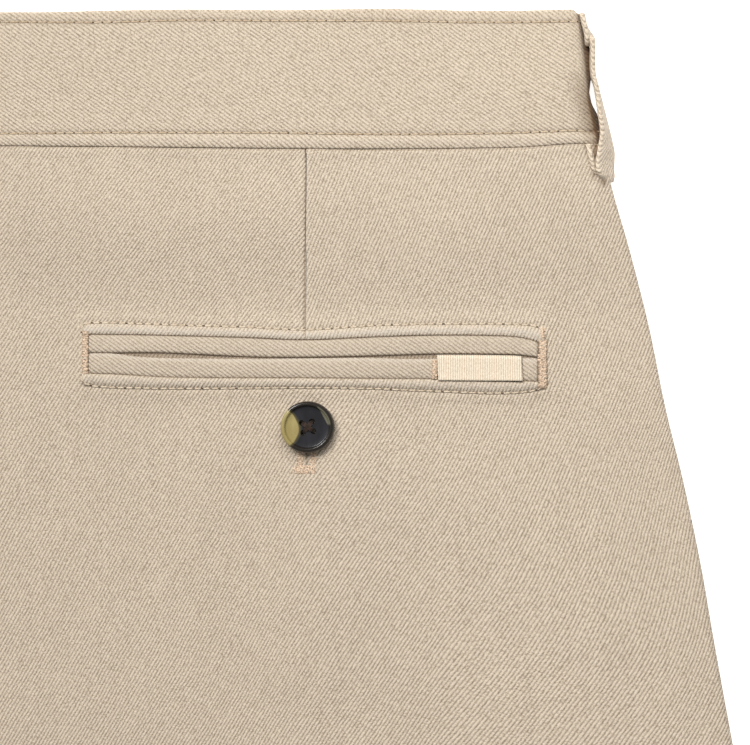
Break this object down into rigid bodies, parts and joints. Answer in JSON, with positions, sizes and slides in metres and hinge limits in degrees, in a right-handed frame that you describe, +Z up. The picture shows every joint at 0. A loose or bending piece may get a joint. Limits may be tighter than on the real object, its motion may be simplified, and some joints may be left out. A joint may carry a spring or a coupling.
{
  "type": "chino shorts",
  "caption": "Chino shorts laid flat with the back up: twill panels, stitched waistband with belt loops, and double-welt back pockets that button.",
  "frame": {"origin": "middle of the laid garment's outline, on the surface it lies on", "axes": "+X to the wearer's right, +Y from the hems to the waist, +Z up out of the back"},
  "size_m": [0.596, 0.492, 0.0109],
  "materials": {
    "twill": "cotton twill, sand colour, matt",
    "woven_tab": "ribbed cream tape",
    "button_horn": "polished dark horn look",
    "zip_tape": "woven tape"
  },
  "bodies": {
    "root": {"back_left": "twill", "back_right": "twill", "belt_loop_back": "twill", "belt_loop_front_left": "twill", "belt_loop_front_right": "twill", "belt_loop_side_left": "twill", "belt_loop_side_right": "twill", "fly_shield": "twill", "fly_zip": "zip_tape", "front_left": "twill", "front_right": "twill", "pocket_button_left": "button_horn", "pocket_button_right": "button_horn", "pocket_tab": "woven_tab", "pocket_welt_lower_left": "twill", "pocket_welt_lower_right": "twill", "pocket_welt_upper_left": "twill", "pocket_welt_upper_right": "twill", "waist_button": "button_horn", "waistband_back": "twill", "waistband_front_left": "twill", "waistband_front_right": "twill"}
  },
  "joints": []
}
